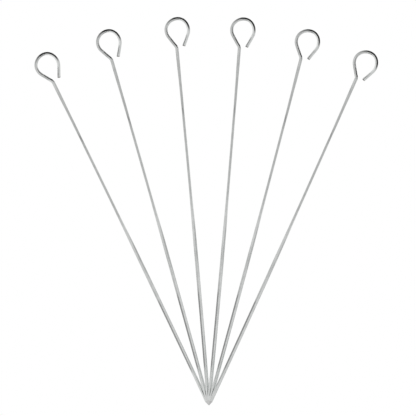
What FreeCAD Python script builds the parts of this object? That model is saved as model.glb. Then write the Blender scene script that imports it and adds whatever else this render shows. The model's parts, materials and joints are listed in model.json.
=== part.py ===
import FreeCAD, Part
import math
import os

import Sketcher

# Six loop-handled skewers, each bent, twisted and pointed from one length of square wire,
# laid on a table in a fan: points together and heaped, loops spread.
#
# A skewer is modelled in its own frame: tip of the point at the origin, straight shaft
# along +Y, the loop lying in the XY plane and opening to the right of the neck.  The roll
# of the square section is the tilt of its upper face towards -X.

DRIVING_SIZES = [
    ("overall_length", 305.0, "tip of the point to the far side of the loop"),
    ("wire_side", 1.8, "side of the square wire in the loop and the upper shaft"),
    ("blade_side", 2.1, "side of the square below the long twist"),
    ("tip_side", 0.16, "side of the small flat that the grinding leaves at the tip"),
    ("point_length", 3.7, "length of the four-sided point"),
    ("long_twist_start", 96.0, "where the blade begins to turn"),
    ("long_twist_end", 176.0, "where the upper shaft stops turning"),
    ("short_twist_start", 220.0, "where the wire turns over to its other side"),
    ("short_twist_end", 244.0, "where it stops turning again"),
    ("neck_twist_start", 253.0, "where the wire begins to turn on to its edge"),
    ("neck_twist_end", 279.0, "where the wire stands on its edge for the loop"),
    ("shaft_bow", 0.65, "how far the shaft bows to the right, half-way up"),
    ("blade_roll", 56.0, "roll of the blade, in degrees"),
    ("shaft_roll", 11.0, "roll of the upper shaft, in degrees"),
    ("collar_roll", -12.0, "roll between the short twist and the neck's, in degrees"),
    ("loop_roll", -50.0, "roll of the neck and the loop, in degrees"),
    ("neck_angle", 33.7, "lean of the neck away from the shaft, in degrees"),
    ("neck_bend_radius", 4.5, "centre-line radius of the bend below the neck"),
    ("loop_radius", 8.9, "centre-line radius of the loop"),
    ("loop_offset", 1.65, "loop centre to the right of the shaft's axis"),
    ("free_end_angle", 24.4, "lean of the straight free end, in degrees"),
    ("free_end_length", 10.2, "length of the straight free end"),
    ("heap_step", 2.25, "how much higher each point lies than the one below it"),
    ("lean_1", -25.7, "lean of each skewer from the fan's middle line, in degrees"),
    ("lean_2", -15.7, ""),
    ("lean_3", -5.1, ""),
    ("lean_4", 4.9, ""),
    ("lean_5", 14.9, ""),
    ("lean_6", 24.3, ""),
]
SKEWER_COUNT = 6
LONG_TWIST_SPANS = 4
SHORT_TWIST_SPANS = 3
NECK_TWIST_SPANS = 5


def make_sheet(doc):
    sheet = doc.addObject("Spreadsheet::Sheet", "Sizes")
    for row, (alias, value, meaning) in enumerate(DRIVING_SIZES, start=1):
        sheet.set(f"A{row}", alias)
        sheet.set(f"B{row}", str(value))
        sheet.setAlias(f"B{row}", alias)
        sheet.set(f"C{row}", meaning)
    doc.recompute()
    return sheet


def origin_plane(body, role):
    for feature in body.Origin.OriginFeatures:
        if feature.Role == role:
            return feature
    raise RuntimeError(f"{body.Label} has no {role}")


def new_sketch(body, name, role):
    sketch = body.newObject("Sketcher::SketchObject", f"{body.Name}_{name}")
    sketch.AttachmentSupport = (origin_plane(body, role), [""])
    sketch.MapMode = "FlatFace"
    return sketch


def bind(sketch, constraint, expression):
    """Add a dimension to the sketch and tie its value to the sheet."""
    index = sketch.addConstraint(constraint)
    sketch.setExpression(f"Constraints[{index}]", expression)


def square_section(body, name, along, side, roll):
    """The wire's square section at a distance along the shaft, turned by its roll.

    The shaft's bow is a parabola: nothing at the tip and where the bent end starts.
    """
    sketch = new_sketch(body, name, "XZ_Plane")
    corners = [(-1, -1), (1, -1), (1, 1), (-1, 1)]
    for start, end in zip(corners, corners[1:] + corners[:1]):
        first = FreeCAD.Vector(*start, 0)
        last = FreeCAD.Vector(*end, 0)
        sketch.addGeometry(Part.LineSegment(first, last))
    for line in range(4):
        sketch.addConstraint(Sketcher.Constraint("Coincident", line, 2, (line + 1) % 4, 1))
    for line in (0, 2):
        sketch.addConstraint(Sketcher.Constraint("Horizontal", line))
    for line in (1, 3):
        sketch.addConstraint(Sketcher.Constraint("Vertical", line))
    sketch.addConstraint(Sketcher.Constraint("Equal", 0, 1))
    sketch.addConstraint(Sketcher.Constraint("Symmetric", 0, 1, 2, 1, -1, 1))
    bind(sketch, Sketcher.Constraint("Distance", 0, 2.0), side)
    share = f"({along}) / Sizes.neck_twist_end"
    sketch.setExpression(
        ".AttachmentOffset.Base.x", f"4 * Sizes.shaft_bow * {share} * (1 - {share})")
    sketch.setExpression(".AttachmentOffset.Base.z", f"-({along})")
    sketch.setExpression(".AttachmentOffset.Rotation.Angle", roll)
    return sketch


def between(first, last, fraction):
    """The expression for a value part of the way from one size to another."""
    return f"Sizes.{first} + (Sizes.{last} - Sizes.{first}) * {fraction:.6g}"


def smooth(fraction):
    """Ease a fraction in and out, so that a twist starts and stops gently."""
    return fraction * fraction * (3 - 2 * fraction)


def twist_sections(body, name, spans, zone, rolls, sides):
    """Sections of a twist, evenly spaced, from the start of its zone to the end."""
    sections = []
    for step in range(spans + 1):
        eased = smooth(step / spans)
        along = between(zone[0], zone[1], step / spans)
        side = between(sides[0], sides[1], eased)
        roll = between(rolls[0], rolls[1], eased)
        sections.append(square_section(body, f"{name}_{step}", along, side, roll))
    return sections


def make_shaft(body):
    """The ground point, the blade, the three twists and the upper shaft, in one loft."""
    tip = square_section(body, "tip", "0", "Sizes.tip_side", "Sizes.blade_roll")
    shoulder = square_section(
        body, "shoulder", "Sizes.point_length", "Sizes.blade_side", "Sizes.blade_roll")
    blade_middle = square_section(
        body, "blade_middle", between("point_length", "long_twist_start", 0.5),
        "Sizes.blade_side", "Sizes.blade_roll")
    long_twist = twist_sections(
        body, "long_twist", LONG_TWIST_SPANS,
        ("long_twist_start", "long_twist_end"),
        ("blade_roll", "shaft_roll"), ("blade_side", "wire_side"))
    shaft_middle = square_section(
        body, "shaft_middle", between("long_twist_end", "short_twist_start", 0.5),
        "Sizes.wire_side", "Sizes.shaft_roll")
    short_twist = twist_sections(
        body, "short_twist", SHORT_TWIST_SPANS,
        ("short_twist_start", "short_twist_end"),
        ("shaft_roll", "collar_roll"), ("wire_side", "wire_side"))
    neck_twist = twist_sections(
        body, "neck_twist", NECK_TWIST_SPANS,
        ("neck_twist_start", "neck_twist_end"),
        ("collar_roll", "loop_roll"), ("wire_side", "wire_side"))
    shaft = body.newObject("PartDesign::AdditiveLoft", f"{body.Name}_shaft")
    shaft.Profile = tip
    shaft.Sections = [
        shoulder, blade_middle, *long_twist, shaft_middle, *short_twist, *neck_twist]
    shaft.Ruled = True
    return neck_twist[-1]


def loop_centre(sizes):
    """Centre of the loop, in the skewer's own frame."""
    half_wire = sizes.wire_side / math.sqrt(2)
    return FreeCAD.Vector(
        sizes.loop_offset, sizes.overall_length - half_wire - sizes.loop_radius, 0)


def make_path(body, sizes):
    """Centre line of the bent end: neck bend, neck, loop and straight free end."""
    neck = math.radians(sizes.neck_angle)
    free = math.radians(sizes.free_end_angle)
    centre = loop_centre(sizes)
    radius = sizes.loop_radius
    bend = sizes.neck_bend_radius
    # The neck's line meets the shaft's axis where its distance to the centre is the radius.
    corner = centre.y - (radius - centre.x * math.cos(neck)) / math.sin(neck)
    bend_start = FreeCAD.Vector(0, corner - bend * math.tan(neck / 2), 0)
    bend_centre = bend_start + FreeCAD.Vector(-bend, 0, 0)
    bend_end = bend_centre + FreeCAD.Vector(math.cos(neck), math.sin(neck), 0) * bend
    loop_start = centre - FreeCAD.Vector(math.cos(neck), math.sin(neck), 0) * radius
    loop_end = centre + FreeCAD.Vector(math.cos(free), -math.sin(free), 0) * radius
    free_run = FreeCAD.Vector(-math.sin(free), -math.cos(free), 0) * sizes.free_end_length
    shaft_end = FreeCAD.Vector(0, sizes.neck_twist_end, 0)
    up = FreeCAD.Vector(0, 0, 1)

    sketch = new_sketch(body, "centre_line", "XY_Plane")
    sketch.addGeometry(Part.LineSegment(shaft_end, bend_start))
    sketch.addGeometry(Part.ArcOfCircle(Part.Circle(bend_centre, up, bend), 0, neck))
    sketch.addGeometry(Part.LineSegment(bend_end, loop_start))
    sketch.addGeometry(
        Part.ArcOfCircle(Part.Circle(centre, up, radius), -free, math.pi + neck))
    sketch.addGeometry(Part.LineSegment(loop_end, loop_end + free_run))
    lead, neck_bend, neck_line, loop, free_end = range(5)

    sketch.addConstraint(Sketcher.Constraint("PointOnObject", lead, 1, -2))
    sketch.addConstraint(Sketcher.Constraint("Vertical", lead))
    sketch.addConstraint(Sketcher.Constraint("Tangent", lead, 2, neck_bend, 1))
    sketch.addConstraint(Sketcher.Constraint("Tangent", neck_bend, 2, neck_line, 1))
    sketch.addConstraint(Sketcher.Constraint("Tangent", neck_line, 2, loop, 2))
    sketch.addConstraint(Sketcher.Constraint("Tangent", loop, 1, free_end, 1))
    bind(sketch, Sketcher.Constraint("DistanceY", -1, 1, lead, 1, shaft_end.y),
         "Sizes.neck_twist_end")
    bind(sketch, Sketcher.Constraint("Radius", neck_bend, bend), "Sizes.neck_bend_radius")
    bind(sketch, Sketcher.Constraint("Radius", loop, radius), "Sizes.loop_radius")
    bind(sketch, Sketcher.Constraint("DistanceX", -1, 1, loop, 3, centre.x),
         "Sizes.loop_offset")
    bind(sketch, Sketcher.Constraint("DistanceY", -1, 1, loop, 3, centre.y),
         "Sizes.overall_length - Sizes.wire_side / sqrt(2) - Sizes.loop_radius")
    bind(sketch, Sketcher.Constraint("Angle", neck_line, math.pi / 2 + neck),
         "(90 + Sizes.neck_angle) * 1 deg")
    bind(sketch, Sketcher.Constraint("Angle", free_end, -math.pi / 2 - free),
         "(-90 - Sizes.free_end_angle) * 1 deg")
    bind(sketch, Sketcher.Constraint("Distance", free_end, sizes.free_end_length),
         "Sizes.free_end_length")
    return sketch


def make_skewer(doc, sizes, number):
    """One skewer as a body in its own frame."""
    body = doc.addObject("PartDesign::Body", f"Skewer{number}")
    body.Label = f"skewer_{number}"
    shaft_end = make_shaft(body)
    path = make_path(body, sizes)
    doc.recompute()
    handle = body.newObject("PartDesign::AdditivePipe", f"{body.Name}_handle")
    handle.Profile = shaft_end
    handle.Spine = (path, [f"Edge{edge}" for edge in range(1, 6)])
    body.Tip = handle
    doc.recompute()
    return body


def lie_on_table(sizes, number):
    """Placement of a skewer in the fan: tip over the origin, loop touching z = 0."""
    roll = math.radians(sizes.blade_roll)
    blade_half = sizes.blade_side / 2 * (math.cos(roll) + math.sin(roll))
    loop_half = sizes.wire_side / math.sqrt(2)
    far = sizes.overall_length - loop_half
    # The bottom skewer touches the table where its blade ends and at its loop.
    first_slope = math.atan2(blade_half - loop_half, far - sizes.long_twist_start)
    first_height = far * math.sin(first_slope) + loop_half * math.cos(first_slope)
    height = first_height + (number - 1) * sizes.heap_step
    # The far side of the loop touches the table: far sin(slope) + half cos(slope) = height.
    slope = math.asin(height / math.hypot(far, loop_half)) - math.atan2(loop_half, far)
    lean = getattr(sizes, f"lean_{number}")
    turn = FreeCAD.Rotation(FreeCAD.Vector(0, 0, 1), -lean)
    dip = FreeCAD.Rotation(FreeCAD.Vector(1, 0, 0), -math.degrees(slope))
    return FreeCAD.Placement(FreeCAD.Vector(0, 0, height), turn * dip)


def centre_on_origin(bodies):
    """Move the whole fan so that the origin is under the middle of its outline."""
    fan = Part.makeCompound([body.Shape for body in bodies])
    box = fan.optimalBoundingBox(False, False)
    shift = FreeCAD.Vector(-box.Center.x, -box.Center.y, -box.ZMin)
    for body in bodies:
        placement = body.Placement
        body.Placement = FreeCAD.Placement(placement.Base + shift, placement.Rotation)


def check(doc, bodies):
    """Stop on any feature that failed, and on any piece that isn't one sound solid."""
    for item in doc.Objects:
        if "Invalid" in item.State or "Error" in item.State:
            raise RuntimeError(f"{item.Label} failed: {item.State}")
        if item.isDerivedFrom("Sketcher::SketchObject") and not item.FullyConstrained:
            raise RuntimeError(f"{item.Label} is not fully constrained")
    for body in bodies:
        shape = body.Shape
        if shape.isNull() or not shape.isValid() or len(shape.Solids) != 1:
            raise RuntimeError(f"{body.Label} is not one valid solid")


def main():
    doc = FreeCAD.newDocument("skewers")
    sizes = make_sheet(doc)
    bodies = []
    for number in range(1, SKEWER_COUNT + 1):
        body = make_skewer(doc, sizes, number)
        body.Placement = lie_on_table(sizes, number)
        bodies.append(body)
    doc.recompute()
    centre_on_origin(bodies)
    doc.recompute()
    check(doc, bodies)
    os.makedirs("parts", exist_ok=True)
    for body in bodies:
        body.Shape.exportStep(f"parts/{body.Label}.step")
        print(body.Label, f"{body.Shape.Volume:.1f} mm3", body.Placement)


main()
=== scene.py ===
"""Loop-handled skewers of square wire, laid in a fan on a white studio table.

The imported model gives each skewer's place.  Each skewer is then made again as one fine
mesh: the wire's rounded square section is carried along its centre line, from the ground
point through the blade, the three twists and the neck to the loop and its sheared end.
"""

import json
import math

import bpy
import numpy as np
from bpy.props import FloatProperty, FloatVectorProperty, PointerProperty
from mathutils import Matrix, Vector


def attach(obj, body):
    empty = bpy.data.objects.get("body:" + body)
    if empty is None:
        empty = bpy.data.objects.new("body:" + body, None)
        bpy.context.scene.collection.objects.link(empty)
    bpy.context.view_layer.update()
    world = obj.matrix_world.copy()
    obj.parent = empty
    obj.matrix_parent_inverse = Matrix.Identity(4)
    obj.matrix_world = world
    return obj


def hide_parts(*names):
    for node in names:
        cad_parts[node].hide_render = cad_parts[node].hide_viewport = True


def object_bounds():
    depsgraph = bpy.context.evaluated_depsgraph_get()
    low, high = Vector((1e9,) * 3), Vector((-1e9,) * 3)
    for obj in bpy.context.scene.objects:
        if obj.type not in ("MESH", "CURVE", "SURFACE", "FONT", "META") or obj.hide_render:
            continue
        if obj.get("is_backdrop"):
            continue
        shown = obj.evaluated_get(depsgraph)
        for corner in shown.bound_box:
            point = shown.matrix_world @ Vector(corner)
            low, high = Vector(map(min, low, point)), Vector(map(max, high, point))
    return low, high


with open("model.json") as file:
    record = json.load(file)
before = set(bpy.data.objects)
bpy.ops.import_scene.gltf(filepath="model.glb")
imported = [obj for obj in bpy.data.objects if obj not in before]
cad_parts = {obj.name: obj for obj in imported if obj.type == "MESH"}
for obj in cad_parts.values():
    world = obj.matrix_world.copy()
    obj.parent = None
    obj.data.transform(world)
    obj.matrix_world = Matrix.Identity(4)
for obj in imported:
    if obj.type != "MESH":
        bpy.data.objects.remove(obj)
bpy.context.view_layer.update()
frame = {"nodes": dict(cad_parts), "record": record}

bl_info = {
    "name": "Square-wire skewers",
    "version": (1, 0, 0),
    "blender": (4, 5, 0),
    "location": "View3D > Sidebar > Skewers",
    "description": "Builds a fan of loop-handled square-wire skewers and its studio",
    "category": "Object",
}

SKEWERS = sorted(frame["nodes"])
MOUNTS = {mount["name"]: mount for mount in frame["record"]["mounts"]}
MM = 0.001

CORNER_STEPS = 5
FLAT_STEPS = 4
SMOOTH_SPACING = 0.6 * MM
STRAIGHT_SPACING = 1.5 * MM

DRAWN, GROUND, SHEARED = range(3)

# Wear of the wire's edges: share of the corner radius, length of the waves, and what is
# added to the skewer's seed.
EDGE_WEAR = [(0.22, 9 * MM, 0), (0.10, 2 * MM, 50)]
# Where a loop lies outside a true circle: bearing and reach in degrees, amount in mm.
OUT_OF_ROUND = [(13, 27, -0.30), (68, 18, 0.08), (125, 25, -0.13)]
THICKENING = 0.4
MOST_ROUNDING = 0.3
SHOULDER_BLEND = 0.3 * MM
ROLLOVER = 0.14 * MM
CUT_DEPTH = 0.1 * MM
SHEAR_SLANT = 0.08
SHEAR_TURN = 0.6
SHEAR_REACH = 1.5 * MM


# ---------------------------------------------------------------- settings

def length(name, description, millimetres):
    """A length setting, given in millimetres."""
    return FloatProperty(
        name=name, description=description, default=millimetres * MM, unit="LENGTH")


def angle(name, description, degrees):
    """An angle setting, given in degrees."""
    return FloatProperty(
        name=name, description=description, subtype="ANGLE",
        default=math.radians(degrees))


class SkewerSizes(bpy.types.PropertyGroup):
    """Sizes of a skewer in its own frame: tip at the origin, shaft along +Y."""

    overall_length: length(
        "Overall length", "Tip of the point to the far side of the loop", 305)
    wire_side: length(
        "Wire side", "Side of the square wire in the loop and upper shaft", 1.8)
    blade_side: length("Blade side", "Side of the square below the long twist", 2.1)
    tip_side: length("Tip side", "Side of the small flat at the tip of the point", 0.16)
    point_length: length("Point length", "Length of the four ground bevels", 3.7)
    corner_radius: length(
        "Corner radius", "Rounding of the drawn wire's four edges", 0.12)
    ground_radius: length(
        "Ground edge radius", "Rounding of the edges left by grinding", 0.03)
    face_crown: length(
        "Face crown", "How far each drawn face bulges at its middle", 0.018)
    long_twist_start: length("Long twist start", "Where the blade begins to turn", 96)
    long_twist_end: length("Long twist end", "Where the upper shaft stops turning", 176)
    short_twist_start: length(
        "Short twist start", "Where the wire turns over to its other side", 220)
    short_twist_end: length("Short twist end", "Where it stops turning again", 244)
    neck_twist_start: length(
        "Neck twist start", "Where the wire begins to turn on to its edge", 253)
    neck_twist_end: length("Neck twist end", "Where the wire stands on its edge", 279)
    shaft_bow: length(
        "Shaft bow", "How far the shaft bows to the right, half-way up", 0.65)
    blade_roll: angle("Blade roll", "Tilt of the blade's upper face to the left", 56)
    shaft_roll: angle(
        "Shaft roll", "Tilt of the upper shaft's upper face to the left", 11)
    collar_roll: angle(
        "Collar roll", "Tilt between the short twist and the neck's", -12)
    loop_roll: angle("Loop roll", "Tilt of the same face in the neck and the loop", -50)
    neck_angle: angle("Neck angle", "Lean of the neck away from the shaft", 33.7)
    neck_bend_radius: length(
        "Neck bend radius", "Centre-line radius of the bend below the neck", 4.5)
    loop_radius: length("Loop radius", "Centre-line radius of the loop", 8.9)
    loop_offset: length(
        "Loop offset", "Loop centre to the right of the shaft's axis", 1.65)
    free_end_angle: angle("Free end angle", "Lean of the straight free end", 24.4)
    free_end_length: length("Free end length", "Length of the straight free end", 10.2)


class SteelFinish(bpy.types.PropertyGroup):
    """Colours and gloss of the bright plated wire."""

    plate_colour: FloatVectorProperty(
        name="Plate colour", description="Colour of the bright plating",
        subtype="COLOR", size=3, default=(0.812, 0.828, 0.820))
    ground_colour: FloatVectorProperty(
        name="Ground colour", description="Colour of the freshly ground point",
        subtype="COLOR", size=3, default=(0.74, 0.745, 0.74))
    sheared_colour: FloatVectorProperty(
        name="Sheared colour", description="Colour of the sheared end of the wire",
        subtype="COLOR", size=3, default=(0.50, 0.49, 0.48))
    plate_roughness: FloatProperty(
        name="Plate roughness", description="Roughness between the draw lines",
        default=0.2, min=0.0, max=1.0)


class StudioSettings(bpy.types.PropertyGroup):
    """The table, the surround and the camera."""

    picture_width: length("Picture width", "Width of table that the camera sees", 325.7)
    camera_right: length(
        "Camera right", "Camera's place to the right of the fan's middle", 1.31)
    camera_up: length(
        "Camera up", "Camera's place towards the loops from the middle", 2.46)
    lens: FloatProperty(
        name="Lens", description="Focal length in millimetres, long enough to look flat",
        default=1000.0)
    surround_grey: FloatProperty(
        name="Surround grey", description="Brightness of the ceiling in the reflections",
        default=0.535, min=0.0, max=2.0)


# ---------------------------------------------------------------- centre line and section

def smooth(fraction):
    """Ease from 0 to 1, held past both ends: 3 times the square less twice the cube."""
    share = np.clip(fraction, 0, 1)
    return share * share * (3 - 2 * share)


def even(start, end, spacing):
    """Evenly spaced values from start up to but not including end."""
    count = max(2, int(math.ceil(abs(end - start) / spacing)))
    return np.linspace(start, end, count, endpoint=False)


class CentreLine:
    """The wire's centre line as arrays, one value for each station.

    x, y are the place; heading is the turn of the direction from +Y, to the left; along
    is the distance from the tip; bend is the curvature towards the right.
    """

    def __init__(self, sizes):
        neck = sizes.neck_angle
        free = sizes.free_end_angle
        radius = sizes.loop_radius
        turn = sizes.neck_bend_radius
        centre = loop_centre(sizes)
        corner = centre[1] - (radius - centre[0] * math.cos(neck)) / math.sin(neck)
        bend_start = np.array([0, corner - turn * math.tan(neck / 2)])
        bend_end = bend_start + turn * np.array([math.cos(neck) - 1, math.sin(neck)])
        loop_start = centre - radius * np.array([math.cos(neck), math.sin(neck)])
        loop_end = centre + radius * np.array([math.cos(free), -math.sin(free)])

        runs = [
            self.shaft(sizes),
            self.straight(np.array([0, sizes.neck_twist_end]), bend_start, 0),
            self.arc(bend_start - (turn, 0), turn, 0, neck),
            self.straight(bend_end, loop_start, neck),
            self.arc(centre, radius, math.pi + neck, -free),
            self.straight(loop_end, loop_end - sizes.free_end_length * np.array(
                [math.sin(free), math.cos(free)]), -math.pi - free, last=True),
        ]
        self.x, self.y, self.heading, bend = np.concatenate(runs, axis=1)
        steps = np.hypot(np.diff(self.x), np.diff(self.y))
        self.along = np.concatenate([[0], np.cumsum(steps)])
        self.bend = soften(self.along, bend, 0.8 * MM)
        self.end = self.along[-1]

    @staticmethod
    def shaft(sizes):
        """Stations up the shaft, close at the point's shoulder, with a parabolic bow."""
        shoulder = sizes.point_length
        tight = 0.12 * MM
        y = np.concatenate([
            even(0, shoulder - 2 * tight, 0.25 * MM),
            even(shoulder - 2 * tight, shoulder + 2 * tight, tight / 2),
            even(shoulder + 2 * tight, shoulder + 3 * MM, 0.5 * MM),
            even(shoulder + 3 * MM, sizes.neck_twist_end, STRAIGHT_SPACING / 2)])
        share = y / sizes.neck_twist_end
        x = 4 * sizes.shaft_bow * share * (1 - share)
        return np.stack([x, y, 0 * y, 0 * y])

    @staticmethod
    def straight(start, end, heading, last=False):
        """Stations along a straight run."""
        length = math.hypot(*(end - start))
        share = np.linspace(0, 1, max(2, int(length / SMOOTH_SPACING)), endpoint=last)
        x = start[0] + share * (end[0] - start[0])
        y = start[1] + share * (end[1] - start[1])
        return np.stack([x, y, heading + 0 * x, 0 * x])

    @staticmethod
    def arc(centre, radius, first, last):
        """Stations round a circle, from one angle to another."""
        count = max(8, int(abs(last - first) * radius / SMOOTH_SPACING))
        angle = np.linspace(first, last, count, endpoint=False)
        side = 1 if last > first else -1
        heading = angle if side > 0 else angle - math.pi
        x = centre[0] + radius * np.cos(angle)
        y = centre[1] + radius * np.sin(angle)
        return np.stack([x, y, heading, 0 * angle - side / radius])


def loop_centre(sizes):
    """Centre of the loop in the skewer's own plane."""
    half_wire = sizes.wire_side / math.sqrt(2)
    return np.array([
        sizes.loop_offset, sizes.overall_length - half_wire - sizes.loop_radius])


def soften(along, values, reach):
    """Mean of the values near each station, weighted by a bell of this reach."""
    near = np.exp(-0.5 * ((along[:, None] - along[None, :]) / reach) ** 2)
    spacing = np.gradient(along)
    weight = near * spacing[None, :]
    return (weight @ values) / weight.sum(axis=1)


def roll_and_side(sizes, line):
    """Roll and side of the section at each station.

    Each twist eases from one roll to the next with the smooth curve; the side eases from
    the blade's to the wire's over the long twist, and grows in a straight line over the
    ground point.
    """
    on_shaft = np.where(line.along <= sizes.neck_twist_end * 1.001, line.y, np.inf)
    turned = {}
    for twist in ("long", "short", "neck"):
        start = getattr(sizes, f"{twist}_twist_start")
        run = getattr(sizes, f"{twist}_twist_end") - start
        turned[twist] = smooth((on_shaft - start) / run)
    long_share = turned["long"]
    roll = (sizes.blade_roll + (sizes.shaft_roll - sizes.blade_roll) * long_share
            + (sizes.collar_roll - sizes.shaft_roll) * turned["short"]
            + (sizes.loop_roll - sizes.collar_roll) * turned["neck"])
    side = sizes.blade_side + (sizes.wire_side - sizes.blade_side) * long_share
    ground = np.clip(on_shaft / sizes.point_length, 0, 1)
    side = sizes.tip_side + (side - sizes.tip_side) * ground
    return roll, side


def section(side, radius, crown):
    """Rounded square as offsets right and up, with how near each point is to an edge.

    Each quarter is a flat whose middle stands out by the crown, in a parabola, and then a
    quarter circle round the corner.
    """
    flat = np.linspace(-1, 1, FLAT_STEPS, endpoint=False)
    turn = np.linspace(0, math.pi / 2, CORNER_STEPS, endpoint=False)
    half = side[:, None] / 2
    straight = half - radius[:, None]
    bulge = crown[:, None] * (1 - flat ** 2)
    # The right-hand face, from its lower end to its upper, then the corner above it.
    face_right = half + bulge
    face_up = straight * flat
    corner_right = straight + radius[:, None] * np.cos(turn)
    corner_up = straight + radius[:, None] * np.sin(turn)
    right = np.concatenate([face_right, corner_right], axis=1)
    up = np.concatenate([face_up, corner_up], axis=1)
    nearness = np.concatenate([flat ** 6, 1 + 0 * turn])
    quarters = [(right, up), (-up, right), (-right, -up), (up, -right)]
    rights = np.concatenate([quarter[0] for quarter in quarters], axis=1)
    ups = np.concatenate([quarter[1] for quarter in quarters], axis=1)
    return rights, ups, np.tile(nearness, 4)


def wander(along, seed, reach):
    """A gentle wave between about -1 and 1: six sines of seeded length and phase."""
    rng = np.random.default_rng(seed)
    waves = rng.uniform(0.6, 2.2, 6)
    phases = rng.uniform(0, 2 * math.pi, 6)
    return np.sin(along[:, None] / reach * waves + phases).sum(axis=1) / 3.5


def squeeze(right, up, bend):
    """Bent wire thickens inside the bend and thins outside it.

    A set share of the fibre's shortening, which is curvature times its distance towards
    the bend's centre, goes into height.
    """
    return up * (1 + THICKENING * bend[:, None] * right)


def out_of_round(sizes, line):
    """How far each station of the loop lies outside a true circle, as right and up parts.

    It is a sum of bells: the loop is a little flat on its right and its upper left, and
    full on its upper right.
    """
    centre = loop_centre(sizes)
    bearing = np.arctan2(line.y - centre[1], line.x - centre[0])
    out = 0 * bearing
    for middle, reach, amount in OUT_OF_ROUND:
        out += amount * MM * np.exp(-((np.degrees(bearing) - middle) / reach) ** 2)
    return out * np.cos(bearing), out * np.sin(bearing)


def wire_surface(sizes, seed):
    """The wire's skin as a grid of points, station by point round the section.

    Each point is the centre line's place, plus the section's right offset along the
    right-hand normal of the direction and its up offset along +Z, after the section is
    turned by its roll.
    """
    line = CentreLine(sizes)
    roll, side = roll_and_side(sizes, line)
    drawn = smooth((line.along - sizes.point_length) / SHOULDER_BLEND)
    worn = 1 + sum(share * wander(line.along, seed + shift, reach)
                   for share, reach, shift in EDGE_WEAR)
    ground = sizes.ground_radius
    radius = ground + (sizes.corner_radius * worn - ground) * drawn
    radius = np.minimum(radius, side * MOST_ROUNDING)
    crown = sizes.face_crown * drawn
    inset, slant = sheared_end(line)
    right, up, nearness = section(side - 2 * inset, radius, crown)
    turned_right = right * np.cos(roll)[:, None] - up * np.sin(roll)[:, None]
    turned_up = right * np.sin(roll)[:, None] + up * np.cos(roll)[:, None]
    turned_up = squeeze(turned_right, turned_up, line.bend)
    push = slant[:, None] * (turned_right - SHEAR_TURN * turned_up)
    off_right, off_up = out_of_round(sizes, line)
    x = (line.x + off_right)[:, None] + turned_right * np.cos(line.heading)[:, None]
    y = (line.y + off_up)[:, None] + turned_right * np.sin(line.heading)[:, None]
    x = x - push * np.sin(line.heading)[:, None]
    y = y + push * np.cos(line.heading)[:, None]
    points = np.stack([x, y, turned_up], axis=2)
    around = np.concatenate([[0], np.cumsum(np.hypot(
        *np.diff(np.stack([right[-1], up[-1]]), axis=1)))])
    return points, line, around, nearness


def sheared_end(line):
    """How the shear leaves the free end: edges rolled over by an inset that follows a
    quarter circle, and the cut leaning a little off square.  Returns inset and slant."""
    left = np.clip((line.end - line.along) / ROLLOVER, 0, 1)
    inset = ROLLOVER * (1 - np.sqrt(1 - (1 - left) ** 2))
    slant = SHEAR_SLANT * (1 - np.clip((line.end - line.along) / SHEAR_REACH, 0, 1))
    return inset, slant


# ---------------------------------------------------------------- meshes

def grid_mesh(name, points, line, around, nearness, sizes):
    """A closed tube from the grid: quads between stations and a fan over each end."""
    stations, count = points.shape[:2]
    first = np.arange(stations - 1)[:, None] * count
    here = np.arange(count)[None, :]
    beside = (here + 1) % count
    quads = np.stack([
        first + here, first + count + here, first + count + beside, first + beside],
        axis=2).reshape(-1, 4)
    tip_centre = stations * count
    end_centre = tip_centre + 1
    ring = np.arange(count)
    last = (stations - 1) * count
    tip_fan = np.stack([0 * ring + tip_centre, ring, (ring + 1) % count], axis=1)
    end_fan = np.stack([
        0 * ring + end_centre, last + (ring + 1) % count, last + ring], axis=1)
    vertices = np.concatenate([
        points.reshape(-1, 3), points[0].mean(axis=0)[None],
        points[-1].mean(axis=0)[None]])

    mesh = bpy.data.meshes.new(name)
    mesh.from_pydata(vertices, [], quads.tolist() + tip_fan.tolist() + end_fan.tolist())
    set_wire_map(mesh, line.along, around)
    near = np.concatenate([np.tile(nearness, stations), [1, 1]])
    edge = mesh.attributes.new("edge", "FLOAT", "POINT")
    edge.data.foreach_set("value", near)
    finish = np.full(len(mesh.polygons), DRAWN)
    middle = (line.along[:-1] + line.along[1:]) / 2
    on_point = (middle < sizes.point_length).repeat(count)
    finish[:len(quads)] = np.where(on_point, GROUND, DRAWN)
    finish[len(quads):len(quads) + count] = GROUND
    finish[len(quads) + count:] = SHEARED
    cut = np.repeat(line.along[1:] > line.end - CUT_DEPTH, count)
    finish[:len(quads)][cut] = SHEARED
    mesh.polygons.foreach_set("material_index", finish.astype(np.int32))
    mesh.polygons.foreach_set("use_smooth", np.ones(len(mesh.polygons), bool))
    mesh.update()
    return mesh


def corner_map(corners):
    """UVs of a run of faces, from each corner's parts across and up."""
    pairs = [np.stack(np.broadcast_arrays(across, up), axis=-1) for across, up in corners]
    return np.stack(pairs, axis=-2).reshape(-1, 2)


def set_wire_map(mesh, along, around):
    """UV map in centimetres: across is the distance round the section, up the distance
    from the tip.  The seam column runs on past the last point, so nothing wraps back."""
    around = np.append(around, around[-1] + around[1])
    near, far = around[:-1], around[1:]
    low, high = along[:-1, None], along[1:, None]
    middle, end = around.mean() + 0 * near, along[-1]
    metres = np.concatenate([
        corner_map([(near, low), (near, high), (far, high), (far, low)]),
        corner_map([(middle, 0), (near, 0), (far, 0)]),
        corner_map([(middle, end + MM), (far, end), (near, end)])])
    layer = mesh.uv_layers.new(name="wire")
    layer.data.foreach_set("uv", (metres * 100).astype(np.float32).ravel())


def mount_of(node):
    """The record's mount in a packed skewer's loop."""
    return MOUNTS[node.name.replace("skewer", "eye")]


def tip_of(node):
    """The middle of the small flat at a packed skewer's tip: its four corners are the
    vertices farthest from the loop."""
    packed = np.empty(len(node.data.vertices) * 3)
    node.data.vertices.foreach_get("co", packed)
    packed = np.unique(packed.reshape(-1, 3).round(7), axis=0)
    order = np.argsort(-np.linalg.norm(packed - mount_of(node)["pos_m"], axis=1))
    return packed[order[:4]].mean(axis=0)


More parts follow.
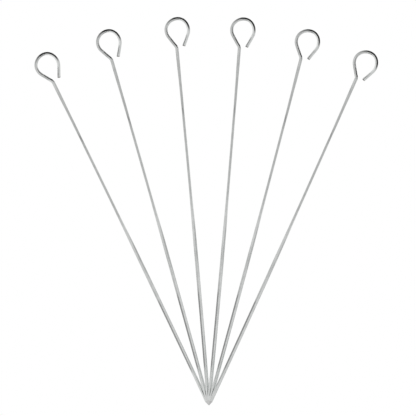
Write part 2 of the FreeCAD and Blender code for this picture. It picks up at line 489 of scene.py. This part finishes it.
def place(points, sizes, node):
    """Move a skewer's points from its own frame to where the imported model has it.

    The loop's centre and plane come from the record's mount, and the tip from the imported
    mesh.
    """
    eye = np.array(mount_of(node)["pos_m"])
    above = np.array(mount_of(node)["axis"])
    above /= np.linalg.norm(above)
    centre = loop_centre(sizes)
    to_eye = eye - tip_of(node)
    to_eye -= above * (to_eye @ above)
    to_eye /= np.linalg.norm(to_eye)
    to_right = np.cross(to_eye, above)
    lean = math.atan2(centre[0], centre[1])
    forward = to_eye * math.cos(lean) - to_right * math.sin(lean)
    right = np.cross(forward, above)
    turned = np.stack([right, forward, above])
    origin = eye - centre[0] * right - centre[1] * forward
    return points @ turned + origin


# ---------------------------------------------------------------- shader groups

def new_group(name, inputs, outputs):
    """An empty shader group: inputs are (name, type, default), outputs (name, type)."""
    group = bpy.data.node_groups.new(name, "ShaderNodeTree")
    for socket, kind, default in inputs:
        made = group.interface.new_socket(socket, in_out="INPUT", socket_type=kind)
        if default is not None:
            made.default_value = default
    for socket, kind in outputs:
        group.interface.new_socket(socket, in_out="OUTPUT", socket_type=kind)
    entry = group.nodes.new("NodeGroupInput")
    leave = group.nodes.new("NodeGroupOutput")
    return group, entry, leave


def add(tree, kind, inputs=None, **settings):
    """Add a node: settings are its own properties, inputs its values or links."""
    node = tree.nodes.new(kind)
    for name, value in settings.items():
        setattr(node, name, value)
    for socket, value in (inputs or {}).items():
        if isinstance(value, bpy.types.NodeSocket):
            tree.links.new(value, node.inputs[socket])
        else:
            node.inputs[socket].default_value = value
    return node


def maths(tree, operation, first, second=0.0, third=0.0, clamp=False):
    """A Math node's result."""
    node = add(tree, "ShaderNodeMath", {0: first, 1: second, 2: third},
               operation=operation)
    node.use_clamp = clamp
    return node.outputs[0]


def remap(tree, value, low, high, to_low=0.0, to_high=1.0):
    """A Map Range node's result, eased."""
    node = add(tree, "ShaderNodeMapRange", {
        "Value": value, "From Min": low, "From Max": high,
        "To Min": to_low, "To Max": to_high}, interpolation_type="SMOOTHSTEP")
    return node.outputs["Result"]


def noise(tree, vector, scale, detail=3.0, roughness=0.55):
    """A Noise Texture's value."""
    node = add(tree, "ShaderNodeTexNoise", {
        "Vector": vector, "Scale": scale, "Detail": detail, "Roughness": roughness})
    return node.outputs["Fac"]


def stretch(tree, vector, across, along):
    """Scale wire coordinates: across the wire and along it."""
    node = add(tree, "ShaderNodeVectorMath", {0: vector, 1: (across, along, 1.0)},
               operation="MULTIPLY")
    return node.outputs[0]


FLOAT, VECTOR = "NodeSocketFloat", "NodeSocketVector"


def draw_lines_group():
    """Fine lines that the drawing die leaves along the wire, fading in and out."""
    group, entry, leave = new_group("Draw lines", [
        ("Wire", VECTOR, None), ("Fineness", FLOAT, 160.0), ("Run", FLOAT, 0.5)],
        [("Lines", FLOAT), ("Scores", FLOAT)])
    wire = entry.outputs["Wire"]
    run = entry.outputs["Run"]
    fine = add(group, "ShaderNodeCombineXYZ", {
        "X": entry.outputs["Fineness"], "Y": run, "Z": 1.0}).outputs[0]
    lined = add(group, "ShaderNodeVectorMath", {0: wire, 1: fine}, operation="MULTIPLY")
    lines = noise(group, lined.outputs[0], 1.0, 4.0, 0.65)
    fade = noise(group, stretch(group, wire, 9.0, 0.8), 1.0, 2.0)
    lines = maths(group, "MULTIPLY", lines, remap(group, fade, 0.3, 0.7, 0.45, 1.0))
    deep = noise(group, stretch(group, wire, 42.0, 0.16), 1.0, 1.0)
    scores = remap(group, deep, 0.66, 0.78)
    group.links.new(lines, leave.inputs["Lines"])
    group.links.new(scores, leave.inputs["Scores"])
    return group


def mottle_group():
    """Cloudy unevenness of the plating, and the dull smears that fingers leave."""
    group, entry, leave = new_group("Plating mottle", [
        ("Place", VECTOR, None), ("Cloud size", FLOAT, 260.0),
        ("Smear size", FLOAT, 45.0)],
        [("Clouds", FLOAT), ("Smears", FLOAT), ("Pits", FLOAT)])
    place_in = entry.outputs["Place"]
    clouds = noise(group, place_in, entry.outputs["Cloud size"], 4.0, 0.6)
    smears = noise(group, place_in, entry.outputs["Smear size"], 2.0, 0.5)
    cells = add(group, "ShaderNodeTexVoronoi", {"Vector": place_in, "Scale": 1400.0})
    where = noise(group, place_in, 330.0, 2.0)
    pits = maths(group, "MULTIPLY", remap(group, cells.outputs["Distance"], 0.22, 0.1),
                 remap(group, where, 0.56, 0.66))
    group.links.new(clouds, leave.inputs["Clouds"])
    group.links.new(remap(group, smears, 0.5, 0.72), leave.inputs["Smears"])
    group.links.new(pits, leave.inputs["Pits"])
    return group


def edge_group():
    """Where handling has rubbed the wire's four edges, broken up by noise."""
    group, entry, leave = new_group("Edge rub", [
        ("Place", VECTOR, None), ("Edge", FLOAT, 0.0), ("Amount", FLOAT, 0.7)],
        [("Rub", FLOAT)])
    broken = noise(group, entry.outputs["Place"], 620.0, 3.0, 0.6)
    reach = maths(group, "MULTIPLY", remap(group, entry.outputs["Edge"], 0.1, 0.9),
                  remap(group, broken, 0.35, 0.62))
    rub = maths(group, "MULTIPLY", reach, entry.outputs["Amount"], clamp=True)
    group.links.new(rub, leave.inputs["Rub"])
    return group


def grind_group():
    """Scratches that the grinding wheel leaves across the point, all one way."""
    group, entry, leave = new_group("Grinding marks", [
        ("Wire", VECTOR, None), ("Fineness", FLOAT, 220.0)],
        [("Marks", FLOAT), ("Gouges", FLOAT)])
    turned = add(group, "ShaderNodeVectorRotate", {
        "Vector": entry.outputs["Wire"], "Angle": math.radians(12)},
        rotation_type="Z_AXIS")
    tall = add(group, "ShaderNodeCombineXYZ", {
        "X": 6.0, "Y": entry.outputs["Fineness"], "Z": 1.0}).outputs[0]
    lined = add(group, "ShaderNodeVectorMath", {0: turned.outputs[0], 1: tall},
                operation="MULTIPLY")
    marks = noise(group, lined.outputs[0], 1.0, 4.0, 0.7)
    gouges = noise(group, stretch(group, turned.outputs[0], 3.0, 70.0), 1.0, 1.0)
    group.links.new(marks, leave.inputs["Marks"])
    group.links.new(remap(group, gouges, 0.62, 0.75), leave.inputs["Gouges"])
    return group


def shared_groups():
    """Each shared effect, built once."""
    makers = {
        "Draw lines": draw_lines_group, "Plating mottle": mottle_group,
        "Edge rub": edge_group, "Grinding marks": grind_group}
    for name, make in makers.items():
        if name not in bpy.data.node_groups:
            make()
    return {name: bpy.data.node_groups[name] for name in makers}


def use(tree, group, **inputs):
    """Place a shared group in a material, with its own values."""
    node = tree.nodes.new("ShaderNodeGroup")
    node.node_tree = group
    for socket, value in inputs.items():
        socket = socket.replace("_", " ")
        if isinstance(value, bpy.types.NodeSocket):
            tree.links.new(value, node.inputs[socket])
        else:
            node.inputs[socket].default_value = value
    return node.outputs


# ---------------------------------------------------------------- materials

def new_material(name):
    """A material with a Principled BSDF, its node tree, and the wire's coordinates."""
    material = bpy.data.materials.new(name)
    material.use_nodes = True
    tree = material.node_tree
    tree.nodes.clear()
    shader = add(tree, "ShaderNodeBsdfPrincipled")
    output = add(tree, "ShaderNodeOutputMaterial", {"Surface": shader.outputs["BSDF"]})
    output.is_active_output = True
    shader.inputs["Metallic"].default_value = 1.0
    wire = add(tree, "ShaderNodeUVMap", uv_map="wire").outputs["UV"]
    place_out = add(tree, "ShaderNodeTexCoord").outputs["Object"]
    return material, tree, shader, wire, place_out


def blend(tree, share, first, second):
    """Mix two colours."""
    node = tree.nodes.new("ShaderNodeMix")
    node.data_type = "RGBA"
    for socket, value in (("Factor", share), ("A", first), ("B", second)):
        target = [s for s in node.inputs if s.name == socket and s.enabled][0]
        if isinstance(value, bpy.types.NodeSocket):
            tree.links.new(value, target)
        elif socket == "Factor":
            target.default_value = value
        else:
            target.default_value = (*value, 1.0)
    return [s for s in node.outputs if s.enabled][0]


def lay(tree, shader, base, washes, gloss, sheens, reliefs):
    """Lay washes of colour over a base, add to its roughness and stack up its relief.

    A wash is a mask, its strength and its colour.  A sheen is a mask and the roughness it
    adds.  A relief is a height, its strength and its depth in millimetres.
    """
    colour = base
    for mask, strength, wash in washes:
        colour = blend(tree, maths(tree, "MULTIPLY", mask, strength), colour, wash)
    for mask, roughness in sheens:
        gloss = maths(tree, "MULTIPLY_ADD", mask, roughness, gloss)
    normal = None
    for height, strength, depth in reliefs:
        node = add(tree, "ShaderNodeBump", {
            "Height": height, "Strength": strength, "Distance": depth * MM})
        if normal is not None:
            tree.links.new(normal, node.inputs["Normal"])
        normal = node.outputs["Normal"]
    tree.links.new(colour, shader.inputs["Base Color"])
    tree.links.new(gloss, shader.inputs["Roughness"])
    tree.links.new(normal, shader.inputs["Normal"])


def shaded(colour, share):
    """A colour made darker: this share of it."""
    return tuple(share * channel for channel in colour)


def drawn_wire_material(finish, groups):
    """Bright plated square wire: draw lines, cloudy plating, rubbed edges and smears."""
    material, tree, shader, wire, place_out = new_material("drawn wire")
    lines = use(tree, groups["Draw lines"], Wire=wire, Fineness=160.0, Run=0.5)
    cloud = use(tree, groups["Plating mottle"], Place=place_out)
    edge = add(tree, "ShaderNodeAttribute", attribute_name="edge").outputs["Fac"]
    rub = use(tree, groups["Edge rub"], Place=place_out, Edge=edge, Amount=0.7)
    plate = tuple(finish.plate_colour)
    warm = (plate[0] * 0.95, plate[1] * 0.93, plate[2] * 0.89)
    lay(tree, shader, plate, [
        (remap(tree, cloud["Clouds"], 0.35, 0.7), 1.0, shaded(plate, 0.88)),
        (lines["Scores"], 0.35, warm),
        (rub["Rub"], 0.5, (0.86, 0.865, 0.86)),
        (cloud["Pits"], 0.6, (0.30, 0.29, 0.28)),
    ], finish.plate_roughness - 0.05, [
        (lines["Lines"], 0.12), (cloud["Smears"], 0.12), (rub["Rub"], -0.06),
        (cloud["Pits"], 0.25),
    ], [
        (lines["Lines"], 0.35, 0.004), (lines["Scores"], 0.4, -0.006),
        (cloud["Pits"], 0.5, -0.01),
    ])
    return material


def ground_point_material(finish, groups):
    """The four bevels of the point: bare metal with grinding marks across them."""
    material, tree, shader, wire, place_out = new_material("ground point")
    grind = use(tree, groups["Grinding marks"], Wire=wire, Fineness=220.0)
    cloud = use(tree, groups["Plating mottle"], Place=place_out)
    edge = add(tree, "ShaderNodeAttribute", attribute_name="edge").outputs["Fac"]
    rub = use(tree, groups["Edge rub"], Place=place_out, Edge=edge, Amount=0.8)
    bare = tuple(finish.ground_colour)
    dark = shaded(bare, 0.8)
    lay(tree, shader, bare, [
        (remap(tree, grind["Marks"], 0.35, 0.7), 1.0, dark),
        (rub["Rub"], 0.6, (0.86, 0.86, 0.85)),
        (cloud["Smears"], 0.25, dark),
    ], 0.2, [
        (grind["Marks"], 0.22), (cloud["Clouds"], 0.06),
    ], [
        (grind["Marks"], 0.5, 0.006), (grind["Gouges"], 0.5, -0.012),
    ])
    return material


def sheared_end_material(finish, groups):
    """The cut end: a smooth sheared band and a dull torn one, with a trace of tarnish."""
    material, tree, shader, _, place_out = new_material("sheared end")
    grain = noise(tree, place_out, 5200.0, 4.0, 0.65)
    torn = remap(tree, noise(tree, place_out, 900.0, 2.0), 0.42, 0.58)
    cloud = use(tree, groups["Plating mottle"], Place=place_out, Cloud_size=900.0)
    bare = tuple(finish.sheared_colour)
    lay(tree, shader, bare, [
        (torn, 1.0, shaded(bare, 0.72)),
        (remap(tree, cloud["Clouds"], 0.5, 0.75), 1.0, (0.36, 0.33, 0.30)),
    ], 0.32, [(torn, 0.22), (grain, 0.1)], [(grain, 0.6, 0.015)])
    return material


# ---------------------------------------------------------------- operators

class SKEWERS_OT_fan(bpy.types.Operator):
    """Build the six skewers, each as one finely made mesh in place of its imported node"""

    bl_idname = "skewers.fan"
    bl_label = "Skewers"

    def execute(self, context):
        sizes = context.scene.skewer_sizes
        finish = context.scene.steel_finish
        groups = shared_groups()
        materials = [
            drawn_wire_material(finish, groups),
            ground_point_material(finish, groups),
            sheared_end_material(finish, groups)]
        for number, node in enumerate(SKEWERS, start=1):
            points, line, around, nearness = wire_surface(sizes, seed=number)
            placed = place(points.reshape(-1, 3), sizes, frame["nodes"][node])
            points = placed.reshape(points.shape)
            name = f"{node}_wire"
            mesh = grid_mesh(name, points, line, around, nearness, sizes)
            for material in materials:
                mesh.materials.append(material)
            piece = bpy.data.objects.new(name, mesh)
            context.collection.objects.link(piece)
            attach(piece, node)
            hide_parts(node)
        return {"FINISHED"}


def soft_panel_group():
    """How much of a soft-edged oval panel a direction meets.

    The direction's parts along the panel's across and up arrows, which are as long as one
    over the panel's half width and half height, make a distance that is 1 at its rim.
    """
    group, entry, leave = new_group("Soft panel", [
        ("Direction", VECTOR, None), ("Facing", VECTOR, None), ("Across", VECTOR, None),
        ("Up", VECTOR, None), ("Core", FLOAT, 0.4)], [("Share", FLOAT)])
    parts = {}
    for arrow in ("Facing", "Across", "Up"):
        dot = add(
            group, "ShaderNodeVectorMath",
            {0: entry.outputs["Direction"], 1: entry.outputs[arrow]},
            operation="DOT_PRODUCT")
        parts[arrow] = dot.outputs["Value"]
    across, up = parts["Across"], parts["Up"]
    squared = maths(group, "ADD", maths(group, "MULTIPLY", across, across),
                    maths(group, "MULTIPLY", up, up))
    far = maths(group, "SQRT", squared)
    share = add(group, "ShaderNodeMapRange", {
        "Value": far, "From Min": 1.0, "From Max": entry.outputs["Core"]},
        interpolation_type="SMOOTHSTEP").outputs["Result"]
    front = maths(group, "GREATER_THAN", parts["Facing"], 0.0)
    group.links.new(maths(group, "MULTIPLY", share, front), leave.inputs["Share"])
    return group


# Soft panels of the surround: name, bearing and height of the middle, half width and half
# height, all in degrees, the solid core as a share of those, then brightness.  Bearing 0
# is to the right, 90 towards the loops.
PANELS = [
    ("left softbox", 180, 18, 72, 62, 0.5, 0.74),
    ("front sheet", 270, 0, 62, 40, 0.5, 0.95),
    ("right strip", 0, 26, 62, 16, 0.4, 0.78),
    ("camera front", 0, 90, 10, 10, 0.3, 0.26),
]

# The rings on the table and the cards below go beyond plain studio light: they shade the
# wire in the view from above, with the skewers at rest, and their levels are set for that
# view.  From the sides, and with a skewer lifted, the metal is plainer.

# Brightness of the table as the wire reflects it, by distance in metres from the points.
TABLE_RINGS = [
    (0.000, 0.80), (0.030, 0.80), (0.050, 0.60), (0.098, 0.60), (0.110, 0.72),
    (0.122, 0.70), (0.130, 0.50), (0.139, 0.50), (0.155, 0.85), (0.228, 0.85),
    (0.245, 0.68), (0.262, 0.57), (0.320, 0.57)]

# Brightness of the cards round each loop, by the bearing in degrees of the stretch of
# wire that meets them, in the skewer's own plane and from its right: the card behind the
# loop, the one on the table inside it, and the low wall in its middle.
OUTER_CARD = [
    (-70, 0.72), (-8, 0.72), (0, 0.48), (10, 0.16), (20, 0.05), (40, 0.02), (98, 0.01),
    (106, 0.07), (114, 0.19), (122, 0.27), (136, 0.42), (150, 0.58), (184, 0.70),
    (200, 0.68), (222, 0.58), (244, 0.56)]
INNER_CARD = [
    (-90, 0.95), (0, 0.95), (60, 1.00), (74, 0.88), (82, 0.50), (98, 0.38), (110, 0.46),
    (121, 0.88), (135, 0.66), (150, 0.82), (164, 0.90), (176, 0.50), (190, 0.28),
    (210, 0.20), (250, 0.24), (270, 0.60)]
INNER_WALL = [
    (-90, 0.95), (0, 0.95), (58, 1.00), (70, 0.70), (80, 0.02), (104, 0.02), (112, 0.40),
    (121, 0.88), (135, 0.62), (150, 0.80), (164, 0.88), (178, 0.26), (190, 0.06),
    (250, 0.06), (270, 0.40)]
NECK_LEVEL, GAP_LEVEL, BLADE_LEVEL, POINTS_LEVEL = 0.57, 0.04, 0.32, 0.9

# The card behind a loop, in millimetres out from the loop's centre and up: where its flat
# part starts and ends, and how far out and up the curve goes on.  Then the fade of its
# ends in degrees, and of its top as a share of the card.
BACK_START, BACK_FLAT, BACK_DEPTH, BACK_RISE = 10.45, 13.0, 6.0, 14.0
BACK_END_FADE, BACK_TOP_FADE = 10.0, 0.2
# The low walls: radius as a share of the loop's, and height in millimetres.
WALL_SHARE, WALL_RISE = 0.15, 2.6
# In metres: cards above the table, the card over the points, and the table itself.
CARD_LIFT = 0.09 * MM
POINTS_REACH, POINTS_CORE, POINTS_RISE = 60 * MM, 34 * MM, 70 * MM
TABLE_REACH, TABLE_GAP = 12.0, 0.01 * MM


def unit_vector(bearing, height):
    """The direction with this bearing and height above the horizon, in degrees."""
    turn, rise = math.radians(bearing), math.radians(height)
    return Vector((math.cos(turn) * math.cos(rise), math.sin(turn) * math.cos(rise),
                   math.sin(rise)))


def make_surround(settings):
    """The world: white to the eye, grey with soft panels to everything else."""
    world = bpy.data.worlds.new("studio surround")
    world.use_nodes = True
    world.cycles.sampling_method = "NONE"
    tree = world.node_tree
    tree.nodes.clear()
    group = soft_panel_group()
    direction = add(tree, "ShaderNodeTexCoord").outputs["Generated"]
    colour = (settings.surround_grey,) * 3
    for name, bearing, height, half_width, half_height, core, brightness in PANELS:
        across = unit_vector(bearing + 90, 0)
        facing = unit_vector(bearing, height)
        panel = tree.nodes.new("ShaderNodeGroup")
        panel.node_tree = group
        panel.label = name
        tree.links.new(direction, panel.inputs["Direction"])
        panel.inputs["Facing"].default_value = facing
        panel.inputs["Across"].default_value = across / math.sin(math.radians(half_width))
        panel.inputs["Up"].default_value = (
            facing.cross(across) / math.sin(math.radians(half_height)))
        panel.inputs["Core"].default_value = core
        colour = blend(tree, panel.outputs["Share"], colour, (brightness,) * 3)
    panels = add(tree, "ShaderNodeBackground", {"Color": colour})
    plain = add(tree, "ShaderNodeBackground", {"Color": (1, 1, 1, 1)})
    path = add(tree, "ShaderNodeLightPath")
    mixed = add(tree, "ShaderNodeMixShader", {
        0: path.outputs["Is Camera Ray"], 1: panels.outputs[0], 2: plain.outputs[0]})
    add(tree, "ShaderNodeOutputWorld", {"Surface": mixed.outputs[0]})
    bpy.context.scene.world = world


def stage_material(name):
    """An empty material for the stage whose glow doesn't count as a lamp."""
    material = bpy.data.materials.new(name)
    material.use_nodes = True
    material.node_tree.nodes.clear()
    material.cycles.emission_sampling = "NONE"
    return material, material.node_tree


def points_place():
    """Where the points lie together: the middle of the six tips."""
    return np.mean([tip_of(frame["nodes"][node]) for node in SKEWERS], axis=0)


def table_material():
    """A light table: evenly white to the eye.  The wire sees rings of grey on it: painted
    reflections that shade the wire in the view from above."""
    material, tree = stage_material("white table")
    place_out = add(tree, "ShaderNodeTexCoord").outputs["Object"]
    white = add(tree, "ShaderNodeEmission", {"Color": (1, 1, 1, 1)})
    points = points_place()
    flat = stretch(tree, place_out, 1.0, 1.0)
    offset = add(tree, "ShaderNodeVectorMath", {0: flat, 1: (points[0], points[1], 0.0)},
                 operation="DISTANCE")
    reach = TABLE_RINGS[-1][0]
    ramp = add(tree, "ShaderNodeValToRGB", {
        0: maths(tree, "DIVIDE", offset.outputs["Value"], reach)})
    stops = ramp.color_ramp.elements
    while len(stops) < len(TABLE_RINGS):
        stops.new(0.5)
    for stop, (distance, level) in zip(stops, TABLE_RINGS):
        stop.position = distance / reach
        stop.color = (level, level, level, 1)
    reflected = add(tree, "ShaderNodeEmission", {"Color": ramp.outputs["Color"]})
    path = add(tree, "ShaderNodeLightPath")
    mixed = add(tree, "ShaderNodeMixShader", {
        0: path.outputs["Is Glossy Ray"], 1: white.outputs[0], 2: reflected.outputs[0]})
    add(tree, "ShaderNodeOutputMaterial", {"Surface": mixed.outputs[0]})
    return material


def make_table():
    """A wide flat table top just below the object's lowest level."""
    reach = TABLE_REACH
    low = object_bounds()[0].z - TABLE_GAP
    corners = [(-reach, -reach, low), (reach, -reach, low), (reach, reach, low),
               (-reach, reach, low)]
    mesh = bpy.data.meshes.new("table_top")
    mesh.from_pydata(corners, [], [(0, 1, 2, 3)])
    mesh.materials.append(table_material())
    table = bpy.data.objects.new("table_top", mesh)
    bpy.context.collection.objects.link(table)
    table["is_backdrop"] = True


def add_card(name, points, level, cover, material):
    """A card that only the wire's reflections see: a grid whose front is the side from
    which its rows run round to the left, with its brightness and cover at each point."""
    rows, columns = points.shape[:2]
    corner = (np.arange(rows - 1)[:, None] * columns + np.arange(columns - 1)).ravel()
    faces = np.stack([corner, corner + 1, corner + columns + 1, corner + columns], axis=1)
    mesh = bpy.data.meshes.new(name)
    mesh.from_pydata(points.reshape(-1, 3), [], faces.tolist())
    for title, values in (("level", level), ("cover", cover)):
        attribute = mesh.attributes.new(title, "FLOAT", "POINT")
        attribute.data.foreach_set("value", (values + np.zeros((rows, columns))).ravel())
    mesh.polygons.foreach_set("use_smooth", np.ones(len(faces), bool))
    mesh.materials.append(material)
    card = bpy.data.objects.new(name, mesh)
    for ray in ("camera", "diffuse", "transmission", "volume_scatter", "shadow"):
        setattr(card, f"visible_{ray}", False)
    bpy.context.collection.objects.link(card)
    card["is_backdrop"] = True


def card_material():
    """Grey card, seen from its front only: as bright as its level, clear where its cover
    fades."""
    material, tree = stage_material("grey card")
    level = add(tree, "ShaderNodeAttribute", attribute_name="level").outputs["Fac"]
    cover = add(tree, "ShaderNodeAttribute", attribute_name="cover").outputs["Fac"]
    back = add(tree, "ShaderNodeNewGeometry").outputs["Backfacing"]
    shown = maths(tree, "MULTIPLY", cover, maths(tree, "SUBTRACT", 1.0, back))
    face = add(tree, "ShaderNodeEmission", {"Strength": level})
    clear = add(tree, "ShaderNodeBsdfTransparent")
    mixed = add(tree, "ShaderNodeMixShader", {
        0: shown, 1: clear.outputs[0], 2: face.outputs[0]})
    add(tree, "ShaderNodeOutputMaterial", {"Surface": mixed.outputs[0]})
    return material


def levels(card, bearings):
    """Brightness at each bearing in degrees, straight between a card's entries."""
    known, brightness = zip(*card)
    return np.interp(bearings, known, brightness)


def card_floor(sizes):
    """Height of the cards' feet in the skewer's own frame: just above the table."""
    return CARD_LIFT - sizes.wire_side / math.sqrt(2)


def round_loop(sizes, out, up, bearing):
    """Points at a distance out from the loop's centre and a height, for each bearing."""
    centre = loop_centre(sizes)
    turn = np.radians(bearing)[:, None]
    return np.stack([
        centre[0] + out * np.cos(turn), centre[1] + out * np.sin(turn),
        up + 0 * turn], axis=2)


def upright(right, along, up):
    """Points of a flat upright card, right of the shaft: rows along, columns up."""
    along, up = np.meshgrid(along, up, indexing="ij")
    return np.stack([right + 0 * along, along, up], axis=2)


def outer_card(sizes):
    """The card behind a loop: its profile runs out flat just above the table and then
    curves up, as a quarter ellipse."""
    first, last = OUTER_CARD[0][0], OUTER_CARD[-1][0]
    bearing = np.linspace(first, last, 158)
    flat = np.linspace(BACK_START, BACK_FLAT, 6, endpoint=False)
    rise = np.linspace(0, math.pi / 2, 18)
    out = np.concatenate([flat, BACK_FLAT + BACK_DEPTH * np.sin(rise)]) * MM
    up = np.concatenate([0 * flat, BACK_RISE * (1 - np.cos(rise))]) * MM
    share = np.arange(len(up)) / (len(up) - 1)
    ends = (smooth((bearing - first) / BACK_END_FADE)
            * smooth((last - bearing) / BACK_END_FADE))
    top = smooth((share - 1 + BACK_TOP_FADE) / BACK_TOP_FADE)
    cover = ends[:, None] * (1 - top)
    level = levels(OUTER_CARD, bearing)[:, None]
    return round_loop(sizes, out, card_floor(sizes) + up, bearing), level, cover


def inner_card(sizes):
    """The card on the table inside a loop, for the lower half of the inner face."""
    bearing = np.linspace(-90, 270, 121)
    out = np.linspace(WALL_SHARE, 1, 18) * sizes.loop_radius
    level = levels(INNER_CARD, bearing)[:, None]
    return round_loop(sizes, out, card_floor(sizes) + 0 * out, bearing), level, 1


def inner_wall(sizes):
    """A low round wall in the middle of a loop that faces its own centre, for the upper
    half of the wire's inner face, which meets the far side of the wall."""
    bearing = np.linspace(90, 450, 121)
    up = card_floor(sizes) + np.linspace(0, WALL_RISE, 6) * MM
    level = levels(INNER_WALL, bearing - 180)[:, None]
    out = 0 * up + WALL_SHARE * sizes.loop_radius
    return round_loop(sizes, out, up, bearing), level, 1


def gap_wall(sizes):
    """A low dark wall in the loop's gap that only the neck's inner face meets."""
    centre = loop_centre(sizes)
    right, foot, head = 0.5 * MM, -12 * MM, -1.5 * MM
    along = centre[1] + np.linspace(foot, head, 12)
    up = card_floor(sizes) + np.linspace(0, WALL_RISE, 6) * MM
    return upright(centre[0] + right, along, up), GAP_LEVEL, 1


def neck_card(sizes):
    """The card that stands to the right of the collar, below the neck."""
    foot, head = sizes.neck_twist_start - 8 * MM, sizes.neck_twist_end + MM
    right, height, foot_fade, top_fade = 6 * MM, 15 * MM, 6 * MM, 4 * MM
    along = np.linspace(foot, head, 20)
    up = np.linspace(0, height, 12)
    cover = smooth((along - foot) / foot_fade)[:, None] * smooth((height - up) / top_fade)
    return upright(right, along, card_floor(sizes) + up), NECK_LEVEL, cover


def blade_card(sizes):
    """The low dark card along the blade, on its left, that only its left face meets."""
    head, foot = sizes.long_twist_start - 4 * MM, 27 * MM
    left, low, high, head_fade, foot_fade = 4 * MM, -4 * MM, 1.5 * MM, 5 * MM, 6 * MM
    along = np.linspace(head, foot, 40)
    up = np.linspace(low, high, 6)
    cover = smooth((head - along) / head_fade) * smooth((along - foot) / foot_fade)
    return upright(-left, along, up), BLADE_LEVEL, cover[:, None]


def make_skewer_cards(sizes):
    """The cards of each skewer, in its own plane."""
    material = card_material()
    for make in (outer_card, inner_card, inner_wall, gap_wall, neck_card, blade_card):
        points, level, cover = make(sizes)
        for number, node in enumerate(SKEWERS, start=1):
            placed = place(points.reshape(-1, 3), sizes, frame["nodes"][node])
            add_card(f"{make.__name__}_{number}", placed.reshape(points.shape),
                     level, cover, material)


def make_points_card():
    """A round white card over the heap of points, to open up the reflections in it."""
    out = np.linspace(POINTS_REACH, 0, 24)
    turn = np.linspace(0, 2 * math.pi, 49)[:, None]
    points = points_place()
    grid = np.stack([
        points[0] + out * np.cos(turn), points[1] + out * np.sin(turn),
        0 * out + 0 * turn + POINTS_RISE], axis=2)
    cover = 1 - smooth((out - POINTS_CORE) / (POINTS_REACH - POINTS_CORE))
    add_card("points_card", grid, POINTS_LEVEL, cover, bpy.data.materials["grey card"])


def make_camera(settings):
    """A camera looking straight down through a very long lens."""
    low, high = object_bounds()
    middle = (low + high) / 2
    data = bpy.data.cameras.new("overhead camera")
    data.lens = settings.lens
    distance = settings.picture_width * data.lens / data.sensor_width
    data.clip_start = distance * 0.5
    data.clip_end = distance * 2
    camera = bpy.data.objects.new("overhead camera", data)
    camera.location = (
        middle.x + settings.camera_right, middle.y + settings.camera_up, distance)
    bpy.context.collection.objects.link(camera)
    bpy.context.scene.camera = camera


class SKEWERS_OT_studio(bpy.types.Operator):
    """Build the stage: white table, surround, reflected cards and overhead camera"""

    bl_idname = "skewers.studio"
    bl_label = "Studio"

    def execute(self, context):
        settings = context.scene.skewer_studio
        make_table()
        make_surround(settings)
        make_skewer_cards(context.scene.skewer_sizes)
        make_points_card()
        make_camera(settings)
        context.scene.view_settings.view_transform = "Standard"
        return {"FINISHED"}


class SKEWERS_PT_panel(bpy.types.Panel):
    """Sizes, finish and studio, with a button for each step"""

    bl_idname = "SKEWERS_PT_panel"
    bl_label = "Skewers"
    bl_space_type = "VIEW_3D"
    bl_region_type = "UI"
    bl_category = "Skewers"

    def draw(self, context):
        layout = self.layout
        for group in ("skewer_sizes", "steel_finish", "skewer_studio"):
            settings = getattr(context.scene, group)
            box = layout.box()
            for name in settings.__annotations__:
                box.prop(settings, name)
        layout.operator(SKEWERS_OT_fan.bl_idname)
        layout.operator(SKEWERS_OT_studio.bl_idname)


CLASSES = [
    SkewerSizes, SteelFinish, StudioSettings, SKEWERS_OT_fan, SKEWERS_OT_studio,
    SKEWERS_PT_panel]


def register():
    for cls in CLASSES:
        bpy.utils.register_class(cls)
    bpy.types.Scene.skewer_sizes = PointerProperty(type=SkewerSizes)
    bpy.types.Scene.steel_finish = PointerProperty(type=SteelFinish)
    bpy.types.Scene.skewer_studio = PointerProperty(type=StudioSettings)


def unregister():
    for name in ("skewer_studio", "steel_finish", "skewer_sizes"):
        delattr(bpy.types.Scene, name)
    for cls in reversed(CLASSES):
        bpy.utils.unregister_class(cls)


def main():
    register()
    bpy.ops.skewers.fan()
    bpy.ops.skewers.studio()


if __name__ == "__main__":
    main()
